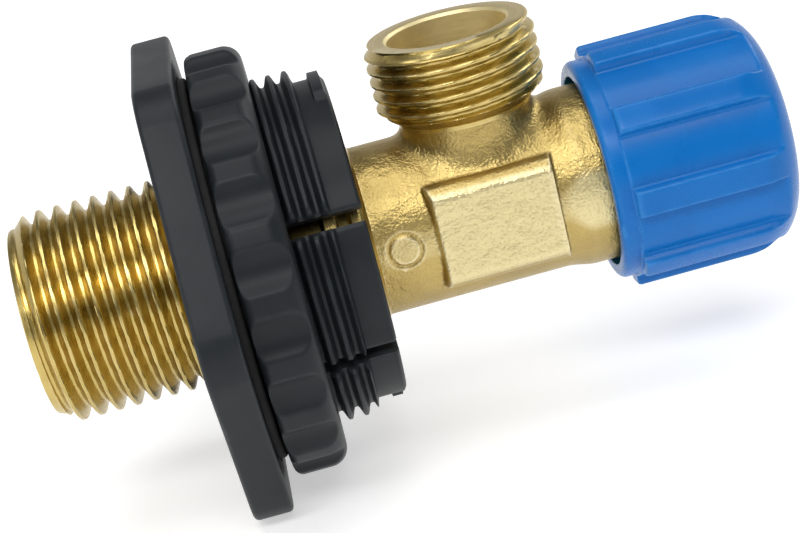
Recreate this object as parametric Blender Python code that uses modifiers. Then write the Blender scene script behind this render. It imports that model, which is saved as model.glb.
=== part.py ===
"""Angle stop valve with a hand knob, held in a panel by a flanged bush and a ring nut.

Frame: metres. The origin is on the main axis, in the panel-side face of the bush's flange.
+X runs along the main axis towards the knob, +Z along the outlet branch, and the round foundry
mark on the body faces -Y. The valve stands shut, with the ring nut screwed down to the gasket.
Angles about the main axis count from +Y towards +Z.
"""

import math

import bmesh
import bpy
from mathutils import Matrix

MM = 0.001
GAP = 0.3 * MM  # between pieces that rest on each other
OVERLAP = 0.5 * MM  # how far a joined or cutting shape runs past the surface it meets
MERGE = 0.000001
THREAD_BACKING = 0.8 * MM  # how thick a threaded sleeve is behind its roots
SEGMENTS = 20  # around large turned pieces and their threads
SMALL_SEGMENTS = 16  # around small ones

# Pipe threads, ISO 228: G 1/2 at the inlet and G 3/8 at the outlet
PIPE_FLANK = 27.5
INLET_CREST = 20.955 / 2 * MM
INLET_ROOT = 18.631 / 2 * MM
INLET_PITCH = 1.814 * MM
OUTLET_CREST = 16.662 / 2 * MM
OUTLET_ROOT = 14.950 / 2 * MM
OUTLET_PITCH = 1.337 * MM

# Body, from the inlet to the knob
INLET_END = -19.2 * MM
INLET_STATION = -18.24 * MM  # where the ridge passes the +Y side
INLET_THREAD_END = -2.2 * MM
HEX_SEAT = (-1.1 * MM, 1.4 * MM)
RETAINING_RIB = (10.2 * MM, 11.5 * MM)
SHOULDER_RIB = (12.8 * MM, 14.1 * MM)
MARK = 17.2 * MM
SEAT = 20.0 * MM
PAD = (20.8 * MM, 32.7 * MM)
OUTLET_AXIS = 26.6 * MM
BODY_END = 40.6 * MM
OUTLET_TOP = 17.9 * MM
OUTLET_STATION = 16.27 * MM  # where the ridge passes the side nearest the knob
OUTLET_THREAD_FOOT = 9.9 * MM
RIM_RADIUS = 7.92 * MM
RIM_DEPTH = 0.83 * MM
RIB_RADIUS = 12.9 * MM
SHOULDER_RADIUS = 12.2 * MM
RETAINING_GROOVE = 11.0 * MM
BARREL = 8.45 * MM
BARREL_MOUTH = 8.9 * MM
BODY_PILOT = 4.0 * MM  # cored out first, before the waterway is cut
WATERWAY = 6.5 * MM
SEAT_HOLE = 5.0 * MM
CHAMBER = 6.9 * MM
CHAMBER_END = 33.3 * MM
BONNET_HOLE = 7.4 * MM
NECK = 6.45 * MM
NECK_FILLET = 2.4 * MM
NECK_FOOT = (1.0 * MM, 6.0 * MM)
NECK_FOOT_RADIUS = 7.6 * MM
OUTLET_BORE = 5.9 * MM
OUTLET_BORE_FOOT = 5.2 * MM
PAD_HALF_HEIGHT = 4.1 * MM
PAD_FACE = 8.65 * MM

# Bush, gasket and ring nut
FLANGE = (-3.4 * MM, 0.5 * MM)
FLANGE_FLATS = 44.0 * MM
GASKET_SEAT = 19.45 * MM  # radius of the recess in the flange's face, down to X = 0
FLANGE_CORNER = 1.75 * MM  # how far each corner's rounding reaches along the flats
COLLAR_ROOT = 16.3 * MM
COLLAR_CREST = 17.35 * MM
COLLAR_PITCH = 1.6 * MM
COLLAR_FLANK = 25.0
COLLAR_CLEARANCE = 0.03 * MM
COLLAR_PLAIN = 16.0 * MM
COLLAR_BORE = 13.5 * MM
COLLAR_THREAD_END = 11.1 * MM
COLLAR_END = 14.1 * MM
COLLAR_CREST_STATION = 10.2 * MM  # where the ridge passes the +Y side
SLOT_ANGLES = (25.0, -25.0, 155.0, 205.0)
SLOT_WIDTH = 1.4 * MM
SLOT_FOOT = 3.0 * MM
LIP_SWEEP = 40.0  # degrees
TOOTH = (COLLAR_END - 1.4 * MM, COLLAR_END - 0.4 * MM)
TOOTH_HEIGHT = 0.6 * MM
TOOTH_SWEEP = 30.0
GASKET = (0.2 * MM, 1.2 * MM)
GASKET_RADIUS = 19.2 * MM
NUT = (1.5 * MM, 7.0 * MM)
NUT_CREST = 16.65 * MM
NUT_ROOT = 17.65 * MM
NUT_RADIUS = 21.3 * MM
NUT_SHOULDER = 1.8 * MM
NUT_SEGMENTS = 28
NUT_LOBES = 21
SCALLOP_START = 9.43  # degrees from the +Y side to the first scallop's middle
SCALLOP_RADIUS = 5.0 * MM
SCALLOP_DEPTH = 0.85 * MM

# Headwork: the spindle turns in place, and its left-hand screw draws a six-sided plug along
LIFT_LEAD = 1.5 * MM
LIFT_FLANK = 15.0
LIFT_CLEARANCE = 0.06 * MM
LIFT_STATION = 36.0 * MM  # where the spindle's ridge passes the +Y side
SPINDLE_CREST = 3.3 * MM
SPINDLE_ROOT = 2.4 * MM
PLUG_CREST = 2.7 * MM
PLUG_ROOT = 3.6 * MM
PLUG_FLATS = 9.0 * MM
PLUG = (23.1 * MM, 36.8 * MM)
PLUG_DISC = 1.5 * MM
PLUG_DISC_RADIUS = 6.2 * MM
BONNET = (33.9 * MM, 47.6 * MM)
BONNET_HEXAGON = (42.2 * MM, 44.6 * MM)
BONNET_HEXAGON_RADIUS = 9.2 * MM
BONNET_NOSE = 5.6 * MM
GUIDE_END = 39.8 * MM
GLAND_START = 42.2 * MM
GLAND_BORE = 4.0 * MM
THRUST_CHAMBER = 4.9 * MM
SPINDLE_TIP = 28.75 * MM
SPINDLE_END = 51.6 * MM
THRUST_COLLAR = (40.1 * MM, 41.1 * MM)
SHAFT = 3.7 * MM
SEAL_STATIONS = {"inner": 43.6 * MM, "outer": 45.8 * MM}
SEAL_GROOVE = 1.6 * MM
SEAL_FLOOR = 2.4 * MM
CIRCLIP_GROOVE = (47.8 * MM, 48.8 * MM)
CIRCLIP_FLOOR = 3.0 * MM
SQUARE = 4.4 * MM
SQUARE_START = 49.3 * MM

# Knob
SKIRT_START = 37.4 * MM
SKIRT_RADIUS = 11.0 * MM
SKIRT_OPENING = 9.6 * MM
GRIP_START = 39.2 * MM
KNOB_RADIUS = 12.3 * MM
KNOB_CORNER = (51.0 * MM, 7.4 * MM)
KNOB_CORNER_RADIUS = 4.9 * MM
KNOB_INSIDE = 51.9 * MM  # where the straight bore of the cap ends
KNOB_END = 56.9 * MM
KNOB_RIBS = 9
KNOB_FIRST_RIB = 22.5
GROOVE_FLOOR = 11.45 * MM
GROOVE_RADIUS = 13.6 * MM
GROOVE_END = 53.9 * MM
WEB = (51.9 * MM, 52.9 * MM)
KNOB_SCREW_SHANK = 1.5 * MM

# Colour, roughness, metallic
BRASS = ((0.72, 0.52, 0.20), 0.32, 1.0)
STEEL = ((0.62, 0.62, 0.63), 0.30, 1.0)
GREY_PLASTIC = ((0.045, 0.052, 0.060), 0.45, 0.0)
BLUE_PLASTIC = ((0.02, 0.17, 0.55), 0.25, 0.0)
BLACK_RUBBER = ((0.015, 0.015, 0.015), 0.75, 0.0)
RED_FIBRE = ((0.35, 0.07, 0.04), 0.80, 0.0)
WHITE_PLASTIC = ((0.80, 0.79, 0.75), 0.45, 0.0)


def clear_scene():
    for obj in list(bpy.data.objects):
        bpy.data.objects.remove(obj, do_unlink=True)
    for collection in list(bpy.data.collections):
        bpy.data.collections.remove(collection)


def new_collection(name):
    collection = bpy.data.collections.new(name)
    bpy.context.scene.collection.children.link(collection)
    return collection


def new_material(name, look):
    colour, roughness, metallic = look
    material = bpy.data.materials.new(name)
    material.use_nodes = True
    shader = material.node_tree.nodes["Principled BSDF"]
    shader.inputs["Base Color"].default_value = (*colour, 1.0)
    shader.inputs["Roughness"].default_value = roughness
    shader.inputs["Metallic"].default_value = metallic
    material.diffuse_color = (*colour, 1.0)
    return material


def new_object(name, mesh, look=None):
    """An object among the parts if it has a look, and otherwise a hidden helper shape."""
    obj = bpy.data.objects.new(name, mesh)
    if look:
        bpy.data.collections["angle_stop_valve"].objects.link(obj)
        mesh.materials.append(new_material(name, look))
    else:
        bpy.data.collections["helper_shapes"].objects.link(obj)
        obj.hide_render = True
        obj.display_type = "WIRE"
    return obj


def mesh_from(name, shape):
    mesh = bpy.data.meshes.new(name)
    shape.to_mesh(mesh)
    shape.free()
    return mesh


def arc(centre, radius, first, last, count):
    """Points (along, radius) of an arc; 0 degrees points along the axis, 90 away from it."""
    angles = [math.radians(first + (last - first) * i / count) for i in range(count + 1)]
    return [(centre[0] + radius * math.cos(a), centre[1] + radius * math.sin(a)) for a in angles]


def outward(profile):
    """The profile with its outer side running from high to low, so that its faces point out."""
    doubled_area = 0.0
    for (along, radius), (next_along, next_radius) in zip(profile, profile[1:] + profile[:1]):
        doubled_area += radius * next_along - next_radius * along
    return profile[::-1] if doubled_area > 0 else profile


def profile_mesh(name, profile, axis, closed):
    shape = bmesh.new()
    for along, radius in profile:
        shape.verts.new((along, radius, 0.0) if axis == "X" else (radius, 0.0, along))
    shape.verts.ensure_lookup_table()
    for first, second in zip(shape.verts[:-1], shape.verts[1:]):
        shape.edges.new((first, second))
    if closed:
        shape.edges.new((shape.verts[-1], shape.verts[0]))
    return mesh_from(name, shape)


def add_screw(obj, axis, steps, angle=2 * math.pi, offset=0.0, turns=1, merge=True):
    screw = obj.modifiers.new("Sweep", "SCREW")
    screw.axis = axis
    screw.angle = angle
    screw.screw_offset = offset
    screw.iterations = turns
    screw.steps = steps
    screw.render_steps = steps
    screw.use_smooth_shade = False
    screw.use_merge_vertices = merge
    screw.merge_threshold = MERGE


def turned(name, profile, look=None, axis="X", steps=SEGMENTS):
    """A turned shape from (along, radius) points: a loop, or a line between two axis points."""
    loop = profile[0][1] > 0.0
    obj = new_object(name, profile_mesh(name, outward(profile), axis, closed=loop), look)
    add_screw(obj, axis, steps)
    return obj


def ring(name, span, inner, outer, look=None, chamfer=0.0, steps=SEGMENTS):
    """A plain ring, with its outer edges chamfered if asked."""
    if chamfer:
        outside = [
            (span[0], outer - chamfer),
            (span[0] + chamfer, outer),
            (span[1] - chamfer, outer),
            (span[1], outer - chamfer),
        ]
    else:
        outside = [(span[0], outer), (span[1], outer)]
    return turned(name, [(span[0], inner), *outside, (span[1], inner)], look, steps=steps)


def swept(name, section, axis, angle, offset=0.0, turns=1, steps=5, start=0.0):
    """A closed section swept round the axis, with flat ends: part of a ring, or a thread.

    Turns that touch are merged, and the walls between them removed.
    """
    guide = new_object(name + "_guide", profile_mesh(name, section, axis, closed=True))
    add_screw(guide, axis, steps, angle, offset, turns, merge=False)
    bpy.context.view_layer.update()
    evaluated = guide.evaluated_get(bpy.context.evaluated_depsgraph_get())
    mesh = bpy.data.meshes.new_from_object(evaluated)
    bpy.data.objects.remove(guide, do_unlink=True)
    shape = bmesh.new()
    shape.from_mesh(mesh)
    bpy.data.meshes.remove(mesh)
    bmesh.ops.holes_fill(shape, edges=shape.edges, sides=len(section))
    bmesh.ops.remove_doubles(shape, verts=shape.verts, dist=MERGE)
    walls = [f for f in shape.faces if sum(len(e.link_faces) > 2 for e in f.edges) > 1]
    bmesh.ops.delete(shape, geom=walls, context="FACES")
    bmesh.ops.recalc_face_normals(shape, faces=shape.faces)
    turn = Matrix.Rotation(start, 3, axis)
    bmesh.ops.rotate(shape, cent=(0.0, 0.0, 0.0), matrix=turn, verts=shape.verts)
    return new_object(name, mesh_from(name, shape))


def thread(name, radii, pitch, span, station, flank, keep, axis="X", steps=SEGMENTS,
           clearance=0.0, left_hand=False):
    """A sleeve that carries a whole thread, from one pitch of its outline swept along the helix.

    radii are the crest's and the root's, and the crest is the smaller one on an inside thread.
    The ridge's middle passes the station on +Y for a thread about X, and on +X for one about Z.
    The sleeve covers the span and is cut back to the turned outline keep.
    """
    crest, root = radii
    back = root + math.copysign(THREAD_BACKING, root - crest)
    slope = math.tan(math.radians(flank)) * abs(crest - root) / 2
    crest_half = pitch / 4 - clearance - slope
    foot_half = pitch / 4 - clearance + slope
    first = station + pitch * math.floor((span[0] - station) / pitch)
    turns = math.ceil((span[1] - first) / pitch)
    offset = -pitch if left_hand else pitch
    start = (first + turns * pitch if left_hand else first) + offset / (2 * steps)
    outline = [
        (-pitch / 2, back),
        (-pitch / 2, root),
        (-foot_half, root),
        (-crest_half, crest),
        (crest_half, crest),
        (foot_half, root),
        (pitch / 2, root),
        (pitch / 2, back),
        (0.0, back),
    ]
    section = [(start + along, radius) for along, radius in outline]
    sleeve = swept(name, section, axis, 2 * math.pi, offset, turns, steps, math.pi / steps)
    combine(sleeve, "INTERSECT", turned("keep_" + name, keep, axis=axis, steps=steps))
    return sleeve


def block(name, low, high, rounding=0.0, turn=0.0):
    """A helper box between two corners, turned about the main axis by the turn in degrees."""
    shape = bmesh.new()
    size = [b - a for a, b in zip(low, high)]
    centre = [(a + b) / 2 for a, b in zip(low, high)]
    placing = Matrix.Translation(centre) @ Matrix.Diagonal((*size, 1.0))
    bmesh.ops.create_cube(shape, size=1.0, matrix=placing)
    if rounding:
        bmesh.ops.bevel(shape, geom=shape.edges, offset=rounding, segments=2, profile=0.5,
                        affect="EDGES")
    obj = new_object(name, mesh_from(name, shape))
    obj.rotation_euler.x = math.radians(turn)
    return obj


def prism(name, span, radius, look=None, rounding=0.0):
    """A six-sided prism along X with two corners on the Y axis."""
    shape = bmesh.new()
    middle = Matrix.Translation(((span[0] + span[1]) / 2, 0.0, 0.0))
    lying = Matrix.Rotation(math.pi / 2, 4, "Y")
    bmesh.ops.create_cone(shape, cap_ends=True, segments=6, radius1=radius, radius2=radius,
                          depth=span[1] - span[0], matrix=middle @ lying)
    if rounding:
        lengthwise = [e for e in shape.edges if abs(e.verts[0].co.x - e.verts[1].co.x) > GAP]
        bmesh.ops.bevel(shape, geom=lengthwise, offset=rounding, segments=4, profile=0.5,
                        affect="EDGES")
    return new_object(name, mesh_from(name, shape), look)


def rod(name, radius, span, axis="X", across=(0.0, 0.0), steps=SMALL_SEGMENTS):
    """A helper cylinder along X or Y, moved sideways by the two other coordinates."""
    shape = bmesh.new()
    middle = (span[0] + span[1]) / 2
    if axis == "X":
        place = Matrix.Translation((middle, *across)) @ Matrix.Rotation(math.pi / 2, 4, "Y")
    else:
        place = Matrix.Translation((across[0], middle, across[1]))
        place = place @ Matrix.Rotation(math.pi / 2, 4, "X")
    bmesh.ops.create_cone(shape, cap_ends=True, segments=steps, radius1=radius, radius2=radius,
                          depth=span[1] - span[0], matrix=place)
    return new_object(name, mesh_from(name, shape))


def combine(obj, operation, *others):
    for other in others:
        modifier = obj.modifiers.new(operation.title() + " " + other.name, "BOOLEAN")
        modifier.operation = operation
        modifier.object = other
        modifier.solver = "EXACT"


def finish_shading():
    """Rounds every part's shading, except over edges that are sharp."""
    for obj in bpy.data.collections["angle_stop_valve"].objects:
        obj.data.shade_smooth()
        obj.data.set_sharp_from_angle(angle=math.radians(30))


def across_flats_to_radius(flats):
    return flats / 2 / math.cos(math.pi / 6)


def make_flange_bush():
    """Six-sided flange and split, threaded collar in one moulding."""
    bush = prism("flange_bush", FLANGE, across_flats_to_radius(FLANGE_FLATS),
                 GREY_PLASTIC, rounding=FLANGE_CORNER)
    collar = turned("join_collar", [
        (-OVERLAP, COLLAR_BORE),
        (-OVERLAP, COLLAR_ROOT - THREAD_BACKING / 2),
        (COLLAR_THREAD_END - GAP, COLLAR_ROOT - THREAD_BACKING / 2),
        (COLLAR_THREAD_END - GAP, COLLAR_PLAIN),
        (COLLAR_END - GAP, COLLAR_PLAIN),
        (COLLAR_END, COLLAR_PLAIN - GAP),
        (COLLAR_END, COLLAR_BORE),
    ])
    ridge = thread("join_collar_thread", (COLLAR_CREST, COLLAR_ROOT), COLLAR_PITCH,
                   (-COLLAR_PITCH, COLLAR_THREAD_END + COLLAR_PITCH), COLLAR_CREST_STATION,
                   COLLAR_FLANK, [
                       (-OVERLAP, COLLAR_BORE),
                       (-OVERLAP, COLLAR_CREST + OVERLAP),
                       (COLLAR_THREAD_END - GAP, COLLAR_CREST + OVERLAP),
                       (COLLAR_THREAD_END, COLLAR_PLAIN + GAP),
                       (COLLAR_THREAD_END, COLLAR_BORE),
                   ], clearance=COLLAR_CLEARANCE)
    bore = turned("cut_bush_bore", [
        (FLANGE[0] - OVERLAP, 0.0),
        (FLANGE[0] - OVERLAP, INLET_CREST + GAP),
        (OVERLAP, INLET_CREST + GAP),
        (OVERLAP, 0.0),
    ])
    recess = prism("cut_hex_recess", (HEX_SEAT[0] - GAP, HEX_SEAT[1] + OVERLAP),
                   RIB_RADIUS + across_flats_to_radius(2 * GAP))
    seat = turned("cut_gasket_seat", [
        (0.0, 0.0),
        (0.0, GASKET_SEAT),
        (FLANGE[1] + OVERLAP, GASKET_SEAT),
        (FLANGE[1] + OVERLAP, 0.0),
    ])
    combine(bush, "DIFFERENCE", seat)
    combine(bush, "UNION", collar, ridge)
    combine(bush, "DIFFERENCE", bore, recess)
    lip = [
        (RETAINING_RIB[1] + GAP, RETAINING_GROOVE + GAP),
        (RETAINING_RIB[1] + GAP, COLLAR_BORE + OVERLAP),
        (SHOULDER_RIB[0] - GAP, COLLAR_BORE + OVERLAP),
        (SHOULDER_RIB[0] - GAP, RETAINING_GROOVE + GAP),
    ]
    tooth = [
        (TOOTH[0], COLLAR_PLAIN - OVERLAP),
        (TOOTH[0], COLLAR_PLAIN + TOOTH_HEIGHT),
        (TOOTH[1], COLLAR_PLAIN + TOOTH_HEIGHT),
        (TOOTH[1], COLLAR_PLAIN - OVERLAP),
    ]
    for name, section, middle, width in (
        ("join_rear_lip", lip, 0.0, LIP_SWEEP),
        ("join_front_lip", lip, 180.0, LIP_SWEEP),
        ("join_top_tooth", tooth, 90.0, TOOTH_SWEEP),
        ("join_bottom_tooth", tooth, -90.0, TOOTH_SWEEP),
    ):
        start = math.radians(middle - width / 2)
        combine(bush, "UNION", swept(name, section, "X", math.radians(width), start=start))
    for angle in SLOT_ANGLES:
        combine(bush, "DIFFERENCE", block(
            f"cut_slot_{angle:.0f}",
            (SLOT_FOOT, COLLAR_BORE - 2 * OVERLAP, -SLOT_WIDTH / 2),
            (COLLAR_END + OVERLAP, COLLAR_CREST + OVERLAP, SLOT_WIDTH / 2),
            turn=angle,
        ))


def make_panel_gasket():
    ring("panel_gasket", GASKET, COLLAR_CREST + GAP, GASKET_RADIUS, BLACK_RUBBER)


def make_clamp_nut():
    """Ring nut with rounded shoulders and shallow finger scallops."""
    nut = turned("clamp_nut", [
        (NUT[0], NUT_ROOT + THREAD_BACKING / 2),
        *arc((NUT[0] + NUT_SHOULDER, NUT_RADIUS - NUT_SHOULDER), NUT_SHOULDER, 180, 90, 3),
        *arc((NUT[1] - NUT_SHOULDER, NUT_RADIUS - NUT_SHOULDER), NUT_SHOULDER, 90, 0, 3),
        (NUT[1], NUT_ROOT + THREAD_BACKING / 2),
    ], GREY_PLASTIC, steps=NUT_SEGMENTS)
    ridge = thread("join_nut_thread", (NUT_CREST, NUT_ROOT), COLLAR_PITCH,
                   (NUT[0] - COLLAR_PITCH, NUT[1] + COLLAR_PITCH),
                   COLLAR_CREST_STATION + COLLAR_PITCH / 2, COLLAR_FLANK, [
                       (NUT[0] + GAP / 2, NUT_ROOT - GAP),
                       (NUT[0] + GAP / 2, NUT_RADIUS),
                       (NUT[1] - GAP / 2, NUT_RADIUS),
                       (NUT[1] - GAP / 2, NUT_ROOT - GAP),
                       (NUT[1] - 3 * GAP, NUT_CREST - OVERLAP),
                       (NUT[0] + 3 * GAP, NUT_CREST - OVERLAP),
                   ], steps=NUT_SEGMENTS, clearance=COLLAR_CLEARANCE)
    centre = NUT_RADIUS - SCALLOP_DEPTH + SCALLOP_RADIUS
    for i in range(NUT_LOBES):
        angle = math.radians(SCALLOP_START) + 2 * math.pi * i / NUT_LOBES
        across = (centre * math.cos(angle), centre * math.sin(angle))
        combine(nut, "DIFFERENCE", rod(f"cut_scallop_{i:02d}", SCALLOP_RADIUS,
                                       (NUT[0] - OVERLAP, NUT[1] + OVERLAP), across=across))
    combine(nut, "UNION", ridge)


def make_valve_body():
    """Brass body: threaded inlet, ribs that the bush holds, seat, outlet branch and knob end."""
    inlet_core = INLET_ROOT - THREAD_BACKING / 2
    outlet_core = OUTLET_ROOT - THREAD_BACKING / 2
    body = turned("valve_body", [
        (INLET_END, BODY_PILOT),
        (INLET_END, inlet_core),
        (HEX_SEAT[0] + OVERLAP, inlet_core),
        (HEX_SEAT[0] + OVERLAP, INLET_CREST),
        (RETAINING_RIB[0], INLET_CREST),
        (RETAINING_RIB[0], RIB_RADIUS),
        (RETAINING_RIB[1], RIB_RADIUS),
        (RETAINING_RIB[1], RETAINING_GROOVE),
        (SHOULDER_RIB[0], RETAINING_GROOVE),
        (SHOULDER_RIB[0], SHOULDER_RADIUS),
        (SHOULDER_RIB[1] - 0.5 * MM, SHOULDER_RADIUS),
        (SHOULDER_RIB[1], SHOULDER_RADIUS - 0.5 * MM),
        (SHOULDER_RIB[1], BARREL + 0.8 * MM),
        (SHOULDER_RIB[1] + 0.8 * MM, BARREL),
        (PAD[1] + 0.5 * MM, BARREL),
        (PAD[1] + 2.9 * MM, BARREL_MOUTH),
        (BODY_END - GAP, BARREL_MOUTH),
        (BODY_END, BARREL_MOUTH - GAP),
        (BODY_END, BODY_PILOT),
    ], BRASS)
    inlet_thread = thread("join_inlet_thread", (INLET_CREST, INLET_ROOT), INLET_PITCH,
                          (INLET_END - INLET_PITCH, HEX_SEAT[0]), INLET_STATION,
                          PIPE_FLANK, [
                              (INLET_END + 0.1 * MM, WATERWAY),
                              (INLET_END + 0.1 * MM, INLET_ROOT - GAP),
                              (INLET_END + 1.4 * MM, INLET_CREST + 0.1 * MM),
                              (INLET_THREAD_END, INLET_CREST + 0.1 * MM),
                              (INLET_THREAD_END + 2 * GAP, INLET_ROOT - 0.1 * MM),
                              (INLET_THREAD_END + 2 * GAP, WATERWAY),
                          ])
    neck = turned("join_outlet_neck", [
        (NECK_FOOT[0], 0.0),
        (NECK_FOOT[0], NECK_FOOT_RADIUS),
        (NECK_FOOT[1], NECK_FOOT_RADIUS),
        *arc((OUTLET_THREAD_FOOT - 0.9 * MM, NECK + NECK_FILLET), NECK_FILLET, 215, 270, 4),
        (OUTLET_THREAD_FOOT, NECK),
        (OUTLET_THREAD_FOOT + 2 * GAP, outlet_core),
        (OUTLET_TOP - RIM_DEPTH, outlet_core),
        (OUTLET_TOP - RIM_DEPTH, RIM_RADIUS),
        (OUTLET_TOP, RIM_RADIUS),
        (OUTLET_TOP, 0.0),
    ], axis="Z")
    outlet_thread = thread("join_outlet_thread", (OUTLET_CREST, OUTLET_ROOT), OUTLET_PITCH,
                           (OUTLET_THREAD_FOOT - OUTLET_PITCH, OUTLET_TOP + OUTLET_PITCH),
                           OUTLET_STATION, PIPE_FLANK, [
                               (OUTLET_THREAD_FOOT + GAP, OUTLET_BORE),
                               (OUTLET_THREAD_FOOT + GAP, OUTLET_ROOT - GAP),
                               (OUTLET_THREAD_FOOT + 1.5 * MM, OUTLET_CREST + 0.1 * MM),
                               (OUTLET_TOP - RIM_DEPTH / 2, OUTLET_CREST + 0.1 * MM),
                               (OUTLET_TOP - RIM_DEPTH / 2, OUTLET_BORE),
                           ], axis="Z")
    pads = block("join_wrench_pads", (PAD[0], -PAD_FACE, -PAD_HALF_HEIGHT),
                 (PAD[1], PAD_FACE, PAD_HALF_HEIGHT), rounding=0.5 * MM)
    mark = rod("join_mark", 1.45 * MM, (-BARREL - 0.15 * MM, -BARREL + 1.0 * MM), axis="Y",
               across=(MARK, 0.0), steps=SMALL_SEGMENTS)
    combine(body, "UNION", inlet_thread, prism("join_hex_seat", HEX_SEAT, RIB_RADIUS), neck,
            outlet_thread, pads, mark)
    waterway = turned("cut_waterway", [
        (INLET_END - OVERLAP, 0.0),
        (INLET_END - OVERLAP, WATERWAY + OVERLAP),
        (INLET_END + OVERLAP, WATERWAY),
        (SEAT - 4.5 * MM, WATERWAY),
        (SEAT - 3.5 * MM, SEAT_HOLE),
        (SEAT, SEAT_HOLE),
        (SEAT, SEAT_HOLE + 0.9 * MM),
        (SEAT - 0.8 * MM, SEAT_HOLE + 1.1 * MM),
        (SEAT - 0.8 * MM, CHAMBER),
        (CHAMBER_END, CHAMBER),
        (CHAMBER_END, BONNET_HOLE),
        (BODY_END + OVERLAP, BONNET_HOLE),
        (BODY_END + OVERLAP, 0.0),
    ])
    outlet = turned("cut_outlet", [
        (0.0, 0.0),
        (0.0, OUTLET_BORE_FOOT),
        (OUTLET_THREAD_FOOT - 0.9 * MM, OUTLET_BORE_FOOT),
        (OUTLET_THREAD_FOOT - 0.3 * MM, OUTLET_BORE),
        (OUTLET_TOP - OVERLAP, OUTLET_BORE),
        (OUTLET_TOP + OVERLAP, OUTLET_BORE + 2 * OVERLAP),
        (OUTLET_TOP + OVERLAP, 0.0),
    ], axis="Z")
    combine(body, "DIFFERENCE", waterway, outlet)
    outlet_keep = outlet_thread.modifiers[0].object  # trims the thread, so it moves with it
    for shape in (neck, outlet_thread, outlet_keep, outlet):
        shape.location.x = OUTLET_AXIS


def make_bonnet():
    """Headwork insert: guides the plug in a six-sided hole and holds the spindle."""
    bonnet = turned("bonnet", [
        (BONNET[0], PLUG_FLATS / 2 - OVERLAP),
        (BONNET[0], BONNET_HOLE - 2 * GAP),
        (BONNET[0] + GAP, BONNET_HOLE - GAP),
        (BONNET_HEXAGON[0] + OVERLAP, BONNET_HOLE - GAP),
        (BONNET_HEXAGON[1] - OVERLAP, BONNET_HOLE - GAP),
        (BONNET_HEXAGON[1] - OVERLAP, BONNET_NOSE),
        (BONNET[1] - GAP, BONNET_NOSE),
        (BONNET[1], BONNET_NOSE - GAP),
        (BONNET[1], GLAND_BORE),
        (GLAND_START, GLAND_BORE),
        (GLAND_START, THRUST_CHAMBER),
        (GUIDE_END, THRUST_CHAMBER),
        (GUIDE_END, PLUG_FLATS / 2 - OVERLAP),
    ], BRASS)
    hexagon = prism("join_bonnet_hexagon", BONNET_HEXAGON, BONNET_HEXAGON_RADIUS)
    combine(hexagon, "DIFFERENCE", rod("cut_bonnet_hexagon", BONNET_NOSE - 0.3 * MM,
                                       (BODY_END, BONNET[1]), steps=SEGMENTS))
    guide = prism("cut_plug_guide", (BONNET[0] - OVERLAP, GUIDE_END + OVERLAP),
                  across_flats_to_radius(PLUG_FLATS + 2 * GAP))
    combine(bonnet, "UNION", hexagon)
    combine(bonnet, "DIFFERENCE", guide)


def make_seals_and_rings():
    """Small rings that seal or hold the headwork."""
    ring("bonnet_gasket", (BODY_END + GAP, BONNET_HEXAGON[0] - GAP), BONNET_HOLE + 0.1 * MM,
         BARREL_MOUTH, RED_FIBRE)
    ring("thrust_washer", (THRUST_COLLAR[1] + 0.25 * MM, GLAND_START - 0.25 * MM),
         SHAFT + 0.25 * MM, THRUST_CHAMBER - 0.25 * MM, WHITE_PLASTIC, steps=SMALL_SEGMENTS)
    middle = (SEAL_FLOOR + GLAND_BORE) / 2
    for place, station in SEAL_STATIONS.items():
        turned(f"spindle_o_ring_{place}", arc((station, middle), 0.55 * MM, 0, 360, 8)[:-1],
               BLACK_RUBBER, steps=SMALL_SEGMENTS)
    circlip = ring("spindle_circlip", (CIRCLIP_GROOVE[0] + 0.2 * MM, CIRCLIP_GROOVE[1] - 0.2 * MM),
                   CIRCLIP_FLOOR + 0.2 * MM, GLAND_BORE + 0.9 * MM, STEEL, steps=SMALL_SEGMENTS)
    mouth = block("cut_circlip_mouth", (CIRCLIP_GROOVE[0], 0.0, -1.6 * MM),
                  (CIRCLIP_GROOVE[1], GLAND_BORE + 2.0 * MM, 1.6 * MM))
    combine(circlip, "DIFFERENCE", mouth)


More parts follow.
